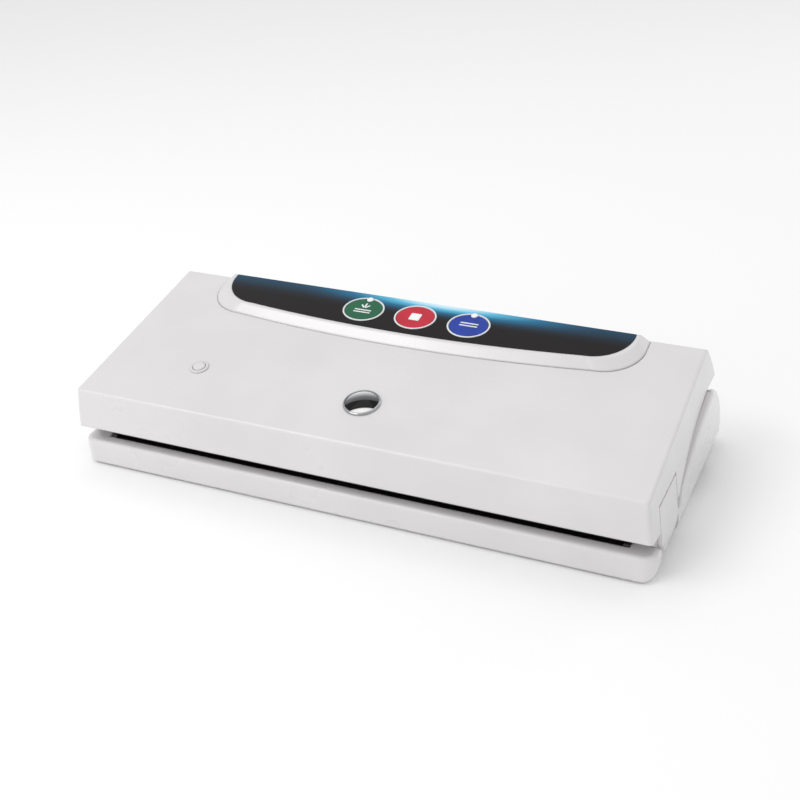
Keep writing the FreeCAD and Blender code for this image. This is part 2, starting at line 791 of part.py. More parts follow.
def make_lid_liner():
    """The inner plate of the lid with the gasket seat, the pressing rib and the hinge knuckles."""
    front = lid_front + fascia_crown + lid_wall + fit_gap
    rear = lid_back_bottom[0] - lid_wall - fit_gap
    lower = lid_underside(liner_rise, front, rear)
    upper = lid_underside(liner_rise + liner_thickness, front, rear)
    ends = [line(lower[-1].Vertexes[-1].Point, upper[-1].Vertexes[-1].Point),
            line(upper[0].Vertexes[0].Point, lower[0].Vertexes[0].Point)]
    plate = slab(lower + ends + upper, far / 2).common(lid_cavity(fit_gap))
    notch = box(latch_pivot_x - latch_ear_inner - 1.0, far, latch_front - wall, latch_rear + wall, 0, far)
    plate = plate.cut([notch, mirrored(notch)])
    rib_low = lip_top + tape_thickness + bag_gap + press_height
    rib = box(-heater_half, heater_half, heater_centre() - press_width / 2 - 1.0,
              heater_centre() + press_width / 2 + 1.0, rib_low, lid_edge + liner_rise)
    parts = [rib]
    for x in (-knuckle_x, knuckle_x):
        parts.append(hinge_knuckle(x))
    plate = plate.fuse(parts)
    cuts = [rod(pin_radius + pin_clearance, (-far, hinge_y, hinge_z), (far, hinge_y, hinge_z))]
    for x, y in lid_screw_places:
        cuts.append(rod(screw_radius + fit_gap, (x, y, 0), (x, y, far)))
        cuts.append(rod(screw_head + fit_gap, (x, y, 0), (x, y, screw_seat(y))))
    cuts.append(on_lid(rod(collar_bore - 1.5, (0, 0, -far / 4), (0, 0, far / 4)), valve_u, valve_v))
    return plate.cut(cuts).removeSplitter()


def hinge_knuckle(x):
    """A round eye below the liner that turns on a hinge pin."""
    half = knuckle_width / 2
    eye = rod(knuckle_radius, (x - half, hinge_y, hinge_z), (x + half, hinge_y, hinge_z))
    web = box(x - half, x + half, hinge_y - knuckle_radius, hinge_y + knuckle_radius, hinge_z,
              hump_top[1] + split_gap + liner_rise + 0.5)
    return eye.fuse(web)


def make_lid_screws():
    """Six screws that hold the liner to the cover."""
    screws = []
    for x, y in lid_screw_places:
        seat = screw_seat(y)
        head = rod(screw_head, (x, y, seat - 1.4), (x, y, seat))
        shank = rod(screw_radius, (x, y, seat), (x, y, seat + 8.0))
        slot = box(x - 1.6, x + 1.6, y - 0.35, y + 0.35, 0, seat - 0.8)
        screws.append(head.fuse(shank).cut(slot))
    return Part.makeCompound(screws)


def make_hinge_pins():
    """One steel pin at each end of the hinge line, held by the base ears."""
    reach = knuckle_width / 2 + side_clearance + ear_width
    return pair(rod(pin_radius, (knuckle_x - reach, hinge_y, hinge_z),
                    (knuckle_x + reach, hinge_y, hinge_z)))


# ---- Latches --------------------------------------------------------------------------------------------
def lid_side_x(y, z):
    """How far out the leaning end of the lid is at a place."""
    top = lid_front_top + (y - lid_front) * math.tan(math.radians(pitch))
    return lid_top_half + lid_flare * (top - z) * math.cos(math.radians(pitch)) - lid_taper * (y - lid_front)


def make_latch():
    """The right latch: a flap in line with the end of the lid, with a hook inside and a finger tip below."""
    middle = (latch_front + latch_rear) / 2
    outer = lid_width_block(0.0)
    inner = lid_width_block(latch_thickness)
    limit = base_half_width
    flap = box(lid_top_half - recess_depth, limit, latch_front, latch_rear, latch_tip, latch_top)
    flap = flap.common(outer).cut(inner)
    tip = box(limit - latch_thickness, limit, latch_front, latch_rear, latch_tip, latch_knee)
    flap = flap.cut(box(0, limit - latch_thickness, -far, far, 0, latch_knee - latch_thickness)).fuse(tip)
    corner = rounded_plate((latch_rear - latch_front) / 2, (latch_top - latch_tip) / 2, latch_tip_radius,
                           far)
    corner.rotate(Vector(0, 0, 0), Vector(0, 0, 1), 90)
    corner.rotate(Vector(0, 0, 0), Vector(0, 1, 0), 90)
    corner.translate(Vector(0, middle, (latch_top + latch_tip) / 2))
    upper = box(0, far, latch_front, latch_rear, (latch_top + latch_tip) / 2, latch_top)
    flap = flap.common(corner.fuse(upper))
    behind = latch_pivot_x + latch_ear_outer + latch_pocket
    for y in latch_ear_places():
        flap = flap.cut(box(0, behind, y - latch_gap, y + latch_ear + latch_gap,
                            latch_pivot_z - latch_ear_drop - latch_gap, far))
    eye_front = latch_front + latch_eye_inset
    eye_rear = latch_rear - latch_eye_inset
    eye = rod(latch_knuckle, (latch_pivot_x, eye_front, latch_pivot_z),
              (latch_pivot_x, eye_rear, latch_pivot_z))
    web = box(latch_pivot_x, lid_side_x(middle, latch_pivot_z) - latch_thickness / 2, eye_front, eye_rear,
              latch_pivot_z - latch_knuckle, latch_pivot_z + latch_pin_radius)
    hook_top = catch_z - hook_drop
    hook_tip = base_half_width - recess_depth + catch_reach + latch_clearance
    hook = box(hook_tip, limit - latch_thickness / 2, middle - catch_half, middle + catch_half,
               hook_top - hook_reach, hook_top)
    lever = flap.fuse([eye, web, hook])
    hole = rod(latch_pin_radius + pin_clearance, (latch_pivot_x, -far, latch_pivot_z),
               (latch_pivot_x, far, latch_pivot_z))
    return lever.cut(hole).removeSplitter()


def make_latch_pins():
    """One steel pin for each latch, held by the lugs in the lid."""
    pin = rod(latch_pin_radius, (latch_pivot_x, latch_front + latch_ear_inset, latch_pivot_z),
              (latch_pivot_x, latch_rear - latch_ear_inset, latch_pivot_z))
    return pair(pin)


# ---- Control panel --------------------------------------------------------------------------------------
def panel_outline(inset, w):
    """Outline of the raised panel in the plane of the lid, drawn in by an inset."""
    half = panel_half - inset
    rear = lid_length - panel_rear_gap
    front = panel_front_v + inset
    shoulder = half - panel_corner
    sag = panel_sag * (shoulder / (panel_half - panel_corner)) ** 2
    side_v = front + sag + panel_corner * 0.92
    knee = (shoulder + panel_corner * 0.72, front + sag + panel_corner * 0.30)
    points = [Vector(-half, rear, w), Vector(-half, side_v, w), Vector(-knee[0], knee[1], w),
              Vector(-shoulder, front + sag, w), Vector(0, front, w), Vector(shoulder, front + sag, w),
              Vector(knee[0], knee[1], w), Vector(half, side_v, w), Vector(half, rear, w)]
    edges = [line(points[0], points[1]), arc(points[1], points[2], points[3]),
             arc(points[3], points[4], points[5]),
             arc(points[5], points[6], points[7]), line(points[7], points[8]), line(points[8], points[0])]
    return Part.Wire(edges)


def panel_plate(inset, low, high):
    """A plate with the outline of the panel."""
    return Part.Face(panel_outline(inset, low)).extrude(Vector(0, 0, high - low))


def key_places():
    """Left, middle and right key."""
    return {"left": -key_pitch, "middle": 0.0, "right": key_pitch}


def key_hole(grow, low, high):
    """Three oval openings, one for each key."""
    holes = []
    for u in key_places().values():
        hole = oval(key_length + 2 * grow, key_width + 2 * grow, high - low)
        hole.translate(Vector(u, key_v, low))
        holes.append(hole)
    return holes


def lamp_rods(grow, low, high):
    """The two round indicator positions."""
    return [rod(lamp_radius + grow, (u, key_v + lamp_offset, low), (u, key_v + lamp_offset, high))
            for u in (-key_pitch, key_pitch)]


def board_posts():
    """Where the four posts of the panel board stand."""
    in_u, in_v = board_post
    return [(u, v) for u in (-window_half + in_u, window_half - in_u)
            for v in (window_front_v + in_v, window_rear_v - in_v)]


def make_panel_frame():
    """The raised white surround with a sloping bevel, a seat for the overlay and posts for the board."""
    bevel = Part.makeLoft([panel_outline(0.0, 0.0), panel_outline(panel_bevel, panel_height)], True, True)
    seat = panel_plate(overlay_inset, panel_height - overlay_depth, panel_height + 1.0)
    hollow = panel_plate(overlay_inset, -1.0, panel_height - overlay_depth - panel_floor)
    hollow = hollow.common(box(-panel_half, panel_half, 0, lid_length - panel_rear_gap - 2.4, -far, far))
    frame = bevel.cut([seat, hollow])
    seat_low = panel_height - overlay_depth
    posts = [rod(board_post_radius, (u, v, -board_drop + board_thickness), (u, v, seat_low - 0.5))
             for u, v in board_posts()]
    frame = frame.fuse(posts)
    frame = frame.cut([rod(board_screw_radius, (u, v, -board_drop), (u, v, -1.0)) for u, v in board_posts()])
    frame = frame.cut(key_hole(fit_gap, -1.0, panel_height) + lamp_rods(fit_gap, -1.0, panel_height))
    return on_lid(frame)


def make_panel_overlay():
    """The dark glossy front sheet."""
    sheet = panel_plate(overlay_inset + 0.15, panel_height - overlay_depth, panel_height + 0.1)
    sheet = sheet.cut(key_hole(key_clearance + key_rim, 0, far) + lamp_rods(0.15, 0, far))
    return on_lid(sheet)


def make_key_rims():
    """Three pale rings round the keys."""
    low = panel_height - overlay_depth
    high = panel_height + 0.45
    outer = key_hole(key_clearance + key_rim, low, high)
    inner = key_hole(key_clearance, low - 1.0, high + 1.0)
    rings = [a.cut([b] + lamp_rods(0.15, 0, far)) for a, b in zip(outer, inner)]
    return on_lid(Part.makeCompound([s for ring in rings for s in ring.Solids]))


def make_key(u):
    """One oval key with its stem down to the switch."""
    top = panel_height + key_proud
    cap = oval(key_length - 0.1, key_width - 0.1, key_cap)
    cap = cap.makeFillet(0.35, edges_where(cap, lambda p, e: abs(p.z - key_cap) < eps))
    cap.translate(Vector(u, key_v, top - key_cap))
    low = -board_drop + board_thickness + switch_height + 0.05
    stem = rod(2.2, (u, key_v, low), (u, key_v, top - key_cap + 0.2))
    cap = cap.cut(lamp_rods(key_clearance, 0, far))
    return on_lid(cap.fuse(stem))


def make_lamps():
    """Two small white indicator lenses."""
    lamps = []
    for lamp in lamp_rods(0.0, -1.0, panel_height + 0.9):
        lamps.append(lamp.makeFillet(0.7, edges_where(lamp, lambda p, e: p.z > panel_height)))
    return on_lid(Part.makeCompound(lamps))


def make_panel_board():
    """The circuit board under the keys."""
    low = -board_drop
    board = box(-window_half + 1, window_half - 1, window_front_v + 1, window_rear_v - 1, low,
                low + board_thickness)
    holes = [rod(board_screw_radius, (u, v, -far), (u, v, far)) for u, v in board_posts()]
    return on_lid(board.cut(holes))


def make_key_switches():
    """Three tact switches and two lamp chips on the panel board."""
    low = -board_drop + board_thickness
    pieces = []
    for u in key_places().values():
        case = box(u - 3, u + 3, key_v - 3, key_v + 3, low, low + switch_height - 0.9 - key_travel)
        nub = rod(1.6, (u, key_v, low), (u, key_v, low + switch_height - key_travel - 0.05))
        pieces.append(case.fuse(nub))
    for u in (-key_pitch, key_pitch):
        pieces.append(box(u - 1.6, u + 1.6, key_v + lamp_offset - 1.2, key_v + lamp_offset + 1.2, low,
                          low + 1.2))
    return on_lid(Part.makeCompound(pieces))


# ---- Sight lens and valve -------------------------------------------------------------------------------
def make_sight_bezel():
    """Bright ring that holds the sight lens in the lid."""
    flange = rod(bezel_radius, (0, 0, 0), (0, 0, bezel_height))
    flange = flange.makeFillet(bezel_round, edges_where(flange, lambda p, e: abs(p.z - bezel_height) < eps))
    body = flange.fuse(rod(bezel_tube - fit_gap / 2, (0, 0, -bezel_depth), (0, 0, bezel_seat)))
    body = body.cut(rod(bezel_bore, (0, 0, bezel_seat), (0, 0, far)))
    body = body.cut(rod(bezel_tube - bezel_wall, (0, 0, -far), (0, 0, far)))
    return on_lid(body, 0, sight_v)


def make_sight_lens():
    """Dark domed lens."""
    reach = bezel_bore - pin_clearance
    rise = lens_rise - lens_edge
    radius = (reach * reach + rise * rise) / (2 * rise)
    dome = Part.makeSphere(radius, Vector(0, 0, lens_rise - radius))
    body = rod(reach, (0, 0, bezel_seat), (0, 0, lens_rise)).common(dome)
    return on_lid(body, 0, sight_v)


def make_sight_nut():
    """Ring nut that holds the bezel from inside."""
    low = -bezel_depth + bezel_seat
    return on_lid(tube(bezel_radius, bezel_tube - fit_gap / 2, (0, 0, low), (0, 0, -lid_wall)), 0, sight_v)


def make_valve_collar():
    """The small stepped guide of the release valve."""
    flange = rod(collar_radius, (0, 0, 0), (0, 0, collar_height))
    flange = flange.makeFillet(0.5, edges_where(flange, lambda p, e: abs(p.z - collar_height) < eps))
    body = flange.fuse(rod(collar_bore + valve_guide_wall, (0, 0, -valve_guide_depth),
                           (0, 0, collar_height / 2)))
    body = body.cut(rod(collar_bore, (0, 0, -valve_cup_depth), (0, 0, far)))
    return on_lid(body.cut(rod(valve_stem_hole, (0, 0, -far), (0, 0, far))), valve_u, valve_v)


def make_valve_button():
    """The round button that lets air back in."""
    skirt = valve_proud - valve_cap
    body = rod(collar_bore - valve_clearance, (0, 0, skirt), (0, 0, valve_proud))
    body = body.makeFillet(0.6, edges_where(body, lambda p, e: abs(p.z - valve_proud) < eps))
    return on_lid(body.fuse(rod(valve_stem, (0, 0, -valve_stem_end), (0, 0, skirt + 1.0))), valve_u, valve_v)


def make_valve_seal():
    """Soft washer below the valve guide, round the stem."""
    radius, thickness = valve_washer
    top = -valve_guide_depth
    return on_lid(tube(radius, valve_stem_hole, (0, 0, top - thickness), (0, 0, top)), valve_u, valve_v)


# ---- Inside the base ------------------------------------------------------------------------------------
def make_pump_motor():
    """Round motor can with its front boss."""
    left = motor_x - motor_length / 2
    can = rod(motor_radius, (left, motor_y, motor_z), (left + motor_length, motor_y, motor_z))
    can = can.makeFillet(1.5, can.Edges[:1])
    hole = rod(shaft_radius + shaft_clearance, (left - 1, motor_y, motor_z),
               (left + motor_length / 2, motor_y, motor_z))
    return can.cut(hole)


def make_pump_head():
    """The pump block beside the motor, hollow for the crank, with its inlet spout."""
    right = motor_x - motor_length / 2
    left = right - pump_length
    block = box(left, right, motor_y - pump_half, motor_y + pump_half, motor_z - pump_half,
                motor_z + pump_half)
    room = rod(crank_radius + crank_throw + 1.0, (left + 3.0, motor_y, motor_z),
               (right - 3.0, motor_y, motor_z))
    bearing = rod(shaft_radius + shaft_clearance, (right - 5.0, motor_y, motor_z),
                  (right + 1.0, motor_y, motor_z))
    spout = rod(hose_bore, (left - 7.0, motor_y - 6.0, port_z()), (left, motor_y - 6.0, port_z()))
    return block.cut([room, bearing]).fuse(spout)


def port_z():
    """Height of the air fitting in the trough."""
    return lip_top - trough_depth + port_height


def make_pump_crank():
    """The motor shaft with the off-centre disc that drives the pump."""
    right = motor_x - motor_length / 2
    shaft = rod(shaft_radius, (right - pump_length + 4.0, motor_y, motor_z),
                (right + motor_length / 2 - 1.0, motor_y,
                                                                            motor_z))
    disc = rod(crank_radius, (right - 16.0, motor_y + crank_throw, motor_z),
               (right - 8.0, motor_y + crank_throw, motor_z))
    return shaft.fuse(disc)


def make_pump_cradle():
    """The bracket that the motor and pump stand on."""
    left = motor_x - motor_length / 2 - pump_length
    low = base_bottom + floor_thickness
    margin = strap_thickness
    rest = box(left + margin, left + pump_length - margin, motor_y - pump_half + margin,
               motor_y + pump_half - margin, low, motor_z - pump_half)
    half_x, half_y = saddle_half
    saddle = box(motor_x - half_x, motor_x + half_x, motor_y - half_y, motor_y + half_y, low, motor_z - 4.0)
    saddle = saddle.cut(rod(motor_radius + fit_gap, (0, motor_y, motor_z), (far, motor_y, motor_z)))
    strap = box(left + margin, motor_x + half_x, motor_y - strap_half, motor_y + strap_half,
                low, low + strap_thickness)
    return strap.fuse([rest, saddle])


def make_air_port():
    """Barbed fitting through the back wall of the trough."""
    y = gasket_rear - gasket_width - trough_margin
    pipe = rod(hose_bore, (port_x, y - 0.6, port_z()), (port_x, y + tub_wall + 8.0, port_z()))
    seat = rod(hose_bore + 0.8, (port_x, y, port_z()), (port_x, y + tub_wall, port_z()))
    return pipe.fuse(seat).cut(rod(0.9, (port_x, -far, port_z()), (port_x, far, port_z())))


def make_air_hose():
    """Soft hose from the trough fitting round one bend to the pump."""
    start_y = gasket_rear - gasket_width - trough_margin + tub_wall + 0.5
    end_x = motor_x - motor_length / 2 - pump_length - 0.5
    turn_y = motor_y - 6.0
    quarter = hose_bend * (1 - math.sqrt(0.5))
    z = port_z()
    a = Vector(port_x, start_y, z)
    b = Vector(port_x, turn_y - hose_bend, z)
    c = Vector(port_x + quarter, turn_y - quarter, z)
    d = Vector(port_x + hose_bend, turn_y, z)
    path = Part.Wire([line(a, b), arc(b, c, d), line(d, Vector(end_x, turn_y, z))])
    skin = Part.Wire([Part.Circle(a, Vector(0, 1, 0), hose_radius).toShape()])
    bore = Part.Wire([Part.Circle(a, Vector(0, 1, 0), hose_bore).toShape()])
    return path.makePipeShell([skin], True, False).cut(path.makePipeShell([bore], True, False))


def core_window():
    """Width of each of the two openings in the transformer core."""
    return (core_size[0] - 4 * core_leg) / 2


def make_transformer_core():
    """Laminated iron frame of the heater transformer."""
    low = base_bottom + floor_thickness
    sx, sy, sz = core_size
    block = box(core_x - sx / 2, core_x + sx / 2, core_y - sy / 2, core_y + sy / 2, low, low + sz)
    cuts = [box(start, start + core_window(), -far, far, low + core_leg, low + sz - core_leg)
            for start in (core_x - sx / 2 + core_leg, core_x + core_leg)]
    return block.cut(cuts)


def make_transformer_coil():
    """Wound coil round the middle leg of the core."""
    low = base_bottom + floor_thickness
    half_x = core_leg + core_window() - fit_gap
    coil = box(core_x - half_x, core_x + half_x, core_y - coil_depth / 2, core_y + coil_depth / 2,
               low + core_leg + fit_gap, low + core_size[2] - core_leg - fit_gap)
    middle_leg = box(core_x - core_leg - fit_gap, core_x + core_leg + fit_gap,
                     core_y - core_size[1] / 2 - fit_gap,
                     core_y + core_size[1] / 2 + fit_gap, 0, far)
    return coil.cut(middle_leg)


def make_main_board():
    """The power and timing board on the floor under the hinge."""
    sx, sy, sz = board_size
    board = box(-sx / 2, sx / 2, board_y - sy / 2, board_y + sy / 2, board_z, board_z + sz)
    posts = [rod(2.5, (x, y, base_bottom + floor_thickness), (x, y, board_z))
             for x in (-sx / 2 + 5, sx / 2 - 5) for y in (board_y - sy / 2 + 5, board_y + sy / 2 - 5)]
    return board.fuse(posts)


def board_block(place):
    """A block that stands on the main board."""
    x, width, depth, height = place
    z = board_z + board_size[2]
    return box(x - width / 2, x + width / 2, board_y - depth / 2, board_y + depth / 2, z, z + height)


def make_board_parts():
    """Relay, capacitor, heat sink and terminal block on the main board."""
    z = board_z + board_size[2]
    x, radius, height = capacitor_place
    can = rod(radius, (x, board_y, z), (x, board_y, z + height))
    sink = board_block(heat_sink_place)
    left = heat_sink_place[0] - heat_sink_place[1] / 2
    step = (heat_sink_place[1] - heat_sink_fin) / (heat_sink_fins - 1)
    for i in range(heat_sink_fins - 1):
        start = left + i * step + heat_sink_fin
        sink = sink.cut(box(start, start + step - heat_sink_fin, -far, far, z + heat_sink_plate, far))
    return Part.makeCompound([board_block(relay_place), can, sink, board_block(terminals_place)])


def inlet_block(length, inset):
    """The rounded body of the power inlet."""
    plate = rounded_plate(inlet_width / 2 - inset, inlet_height / 2 - inset, inlet_height / 2 - 0.6 - inset,
                          length)
    plate.rotate(Vector(0, 0, 0), Vector(1, 0, 0), 90)
    return plate


def inlet_pin_rods(end):
    """Two bars side by side from inside the mouth of the inlet forwards."""
    return [rod(inlet_pin_radius, (inlet_x + dx, base_rear - inlet_pin_start, inlet_z),
                (inlet_x + dx, end, inlet_z))
            for dx in (-inlet_pin_spacing / 2, inlet_pin_spacing / 2)]


def make_power_inlet():
    """Two-pin appliance inlet in the back of the hump."""
    body = inlet_block(inlet_length, fit_gap)
    body.translate(Vector(inlet_x, base_rear - 0.8, inlet_z))
    room = inlet_block(inlet_length - 2.5, 2.2)
    room.translate(Vector(inlet_x, base_rear, inlet_z))
    return body.cut([room] + inlet_pin_rods(0.0))


def make_inlet_pins():
    """The two contact pins of the inlet."""
    return Part.makeCompound(inlet_pin_rods(base_rear - inlet_length - 3.0))


def make_lid_switches():
    """The two switches that feel the lid close, one near each end."""
    y = switch_y()
    top = lip_top - wall
    case = box(switch_x - 3.2, switch_x + 3.2, y - 3.4, y + 9.0, top - 9.0, top)
    return pair(case.cut(rod(1.6, (switch_x, y, top - 5.0), (switch_x, y, far))))


def make_switch_plunger():
    """The right switch's plunger, just short of the lid."""
    y = switch_y()
    low = lip_top - wall - 3.6
    return rod(1.5, (switch_x, y, low), (switch_x, y, lid_edge + liner_rise - plunger_gap))


def main():
    """Builds every piece and writes it."""
    os.makedirs("parts", exist_ok=True)
    pieces = {"base_housing": make_base_housing(), "base_floor": make_base_floor(),
              "base_screws": make_base_screws(),
              "feet": make_feet(), "heater_bar": make_heater_bar(), "heater_ribbon": make_heater_ribbon(),
              "heater_tape": make_heater_tape(), "heater_clamps": make_heater_clamps(),
              "lower_seal": make_lower_seal(), "upper_seal": make_upper_seal(),
              "press_strip": make_press_strip(),
              "lid_cover": make_lid_cover(), "lid_liner": make_lid_liner(), "lid_screws": make_lid_screws(),
              "hinge_pins": make_hinge_pins(), "latch_right": make_latch(),
              "latch_left": mirrored(make_latch()),
              "latch_pins": make_latch_pins(), "panel_frame": make_panel_frame(),
              "panel_overlay": make_panel_overlay(), "key_rims": make_key_rims(),
              "indicator_lamps": make_lamps(),
              "panel_board": make_panel_board(), "key_switches": make_key_switches(),
              "sight_bezel": make_sight_bezel(), "sight_lens": make_sight_lens(),
              "sight_nut": make_sight_nut(),
              "valve_collar": make_valve_collar(), "valve_button": make_valve_button(),
              "valve_seal": make_valve_seal(), "pump_motor": make_pump_motor(),
              "pump_head": make_pump_head(),
              "pump_crank": make_pump_crank(), "pump_cradle": make_pump_cradle(),
              "air_port": make_air_port(),
              "air_hose": make_air_hose(), "transformer_core": make_transformer_core(),
              "transformer_coil": make_transformer_coil(), "main_board": make_main_board(),
              "board_parts": make_board_parts(), "power_inlet": make_power_inlet(),
              "inlet_pins": make_inlet_pins(),
              "lid_switches": make_lid_switches(), "plunger_right": make_switch_plunger(),
              "plunger_left": mirrored(make_switch_plunger())}
    for place, u in key_places().items():
        pieces["key_" + place] = make_key(u)
    for name, shape in pieces.items():
        save(name, shape)


main()
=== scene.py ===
import json
import math

import bmesh
import bpy
from mathutils import Matrix, Vector


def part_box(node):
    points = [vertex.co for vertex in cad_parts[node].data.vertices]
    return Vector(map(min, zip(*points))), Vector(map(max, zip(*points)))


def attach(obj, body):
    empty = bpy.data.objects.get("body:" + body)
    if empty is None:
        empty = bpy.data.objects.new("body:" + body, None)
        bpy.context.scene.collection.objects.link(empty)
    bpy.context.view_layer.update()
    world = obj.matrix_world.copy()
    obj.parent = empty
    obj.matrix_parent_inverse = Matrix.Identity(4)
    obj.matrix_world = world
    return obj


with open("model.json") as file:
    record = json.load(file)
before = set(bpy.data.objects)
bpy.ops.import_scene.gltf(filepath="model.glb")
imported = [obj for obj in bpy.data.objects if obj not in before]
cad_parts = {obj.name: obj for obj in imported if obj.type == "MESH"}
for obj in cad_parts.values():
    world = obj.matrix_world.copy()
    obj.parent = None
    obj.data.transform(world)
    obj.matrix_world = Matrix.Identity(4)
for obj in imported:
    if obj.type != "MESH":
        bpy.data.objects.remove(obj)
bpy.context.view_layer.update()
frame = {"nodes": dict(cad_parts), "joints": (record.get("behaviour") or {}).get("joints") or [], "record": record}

bl_info = {
    "name": "Vacuum sealer finish",
    "version": (1, 0, 0),
    "blender": (4, 5, 0),
    "location": "3D View > Sidebar > Sealer",
    "description": "Finishes, key symbols and moulded detail for a countertop vacuum sealer",
    "category": "Object",
}

MM = 0.001
WAVE_RATE = 20                  # radians that a wave texture turns for each unit of its scale
NODES = frame["nodes"]
BODY_OF = {node: body for body, members in frame["record"]["behaviour"]["bodies"].items() for node in members}


# ---- Colour and node helpers ------------------------------------------------------------------------------
def linear(code):
    """An sRGB hex colour as opaque linear RGBA."""
    channels = [int(code[i:i + 2], 16) / 255 for i in (1, 3, 5)]
    return tuple(c / 12.92 if c <= 0.04045 else ((c + 0.055) / 1.055) ** 2.4 for c in channels) + (1.0,)


def add(tree, kind, settings=(), **sockets):
    """Adds one node; settings are its properties and sockets its inputs, each a value or an output to link."""
    node = tree.nodes.new(kind)
    for name, value in dict(settings).items():
        setattr(node, name, value)
    for name, value in sockets.items():
        socket = node.inputs[int(name[1:])] if name[1:].isdigit() else node.inputs[name.replace("_", " ")]
        if isinstance(value, bpy.types.NodeSocket):
            tree.links.new(value, socket)
        else:
            socket.default_value = value
    return node


def new_finish(name, colour, rough, **sockets):
    """A Principled material with its constant values on the shader's own sockets."""
    material = bpy.data.materials.new(name)
    material.use_nodes = True
    tree = material.node_tree
    shader = tree.nodes["Principled BSDF"]
    shader.inputs["Base Color"].default_value = linear(colour)
    shader.inputs["Roughness"].default_value = rough
    for key, value in sockets.items():
        shader.inputs[key.replace("_", " ")].default_value = value
    return material, tree, shader


def place(tree):
    """The object's own coordinates in metres."""
    return add(tree, "ShaderNodeTexCoord").outputs["Object"]


def per_metre(size_mm):
    """Texture scale that gives a pattern of this size."""
    return 1.0 / (size_mm * MM)


def wave_scale(size_mm):
    """Wave texture scale that gives ridges of this width, with gaps as wide between them."""
    return per_metre(size_mm) / WAVE_RATE * math.pi


def roughen(tree, shader, size_mm, low, high):
    """Lets the gloss wander between two values in patches of a given size."""
    noise = add(tree, "ShaderNodeTexNoise", Vector=place(tree), Scale=per_metre(size_mm), Detail=3.0)
    span = add(tree, "ShaderNodeMapRange", Value=noise.outputs["Fac"], From_Min=0.3, From_Max=0.7,
               To_Min=low, To_Max=high)
    tree.links.new(span.outputs["Result"], shader.inputs["Roughness"])


def tint(tree, shader, size_mm, first, second):
    """Lets the colour wander between two close shades in patches of a given size."""
    noise = add(tree, "ShaderNodeTexNoise", Vector=place(tree), Scale=per_metre(size_mm), Detail=2.0)
    ramp = add(tree, "ShaderNodeValToRGB", Fac=noise.outputs["Fac"])
    ramp.color_ramp.elements[0].position = 0.35
    ramp.color_ramp.elements[0].color = linear(first)
    ramp.color_ramp.elements[1].position = 0.65
    ramp.color_ramp.elements[1].color = linear(second)
    tree.links.new(ramp.outputs["Color"], shader.inputs["Base Color"])


def emboss(tree, shader, height, depth_mm, edge_mm=0.0):
    """Turns a height pattern into surface relief of a real depth, with the part's own edges softened."""
    bump = add(tree, "ShaderNodeBump", Height=height, Distance=depth_mm * MM)
    if edge_mm:
        edge = add(tree, "ShaderNodeBevel", {"samples": 6}, Radius=edge_mm * MM)
        tree.links.new(edge.outputs["Normal"], bump.inputs["Normal"])
    tree.links.new(bump.outputs["Normal"], shader.inputs["Normal"])


def grain(tree, shader, size_mm, depth_mm, edge_mm=0.0):
    """Fine even relief such as a mould texture."""
    noise = add(tree, "ShaderNodeTexNoise", Vector=place(tree), Scale=per_metre(size_mm), Detail=4.0)
    emboss(tree, shader, noise.outputs["Fac"], depth_mm, edge_mm)


def bands(tree, shader, size_mm, depth_mm, axis):
    """Straight parallel ridges across one axis."""
    wave = add(tree, "ShaderNodeTexWave", {"bands_direction": axis}, Vector=place(tree),
               Scale=wave_scale(size_mm), Distortion=0.0)
    emboss(tree, shader, wave.outputs["Fac"], depth_mm)


# ---- Finishes ---------------------------------------------------------------------------------------------
def moulded_abs(name, colour, shade, rough=(0.26, 0.33), coat=0.6):
    """Polished mouldings and prints: even colour, soft gloss and the faint waviness of a thin moulding."""
    material, tree, shader = new_finish(name, colour, rough[0], IOR=1.53, Coat_Weight=coat,
                                        Coat_Roughness=0.15)
    tint(tree, shader, 60.0, colour, shade)
    roughen(tree, shader, 45.0, *rough)
    grain(tree, shader, 3.0, 0.004, edge_mm=1.6)
    return material


def textured_abs(name, colour, shade):
    """ABS out of a spark-eroded mould: flat, dry and slightly sandy to the eye."""
    material, tree, shader = new_finish(name, colour, 0.6, IOR=1.53)
    tint(tree, shader, 25.0, colour, shade)
    roughen(tree, shader, 4.0, 0.5, 0.68)
    grain(tree, shader, 0.5, 0.02, edge_mm=0.5)
    return material


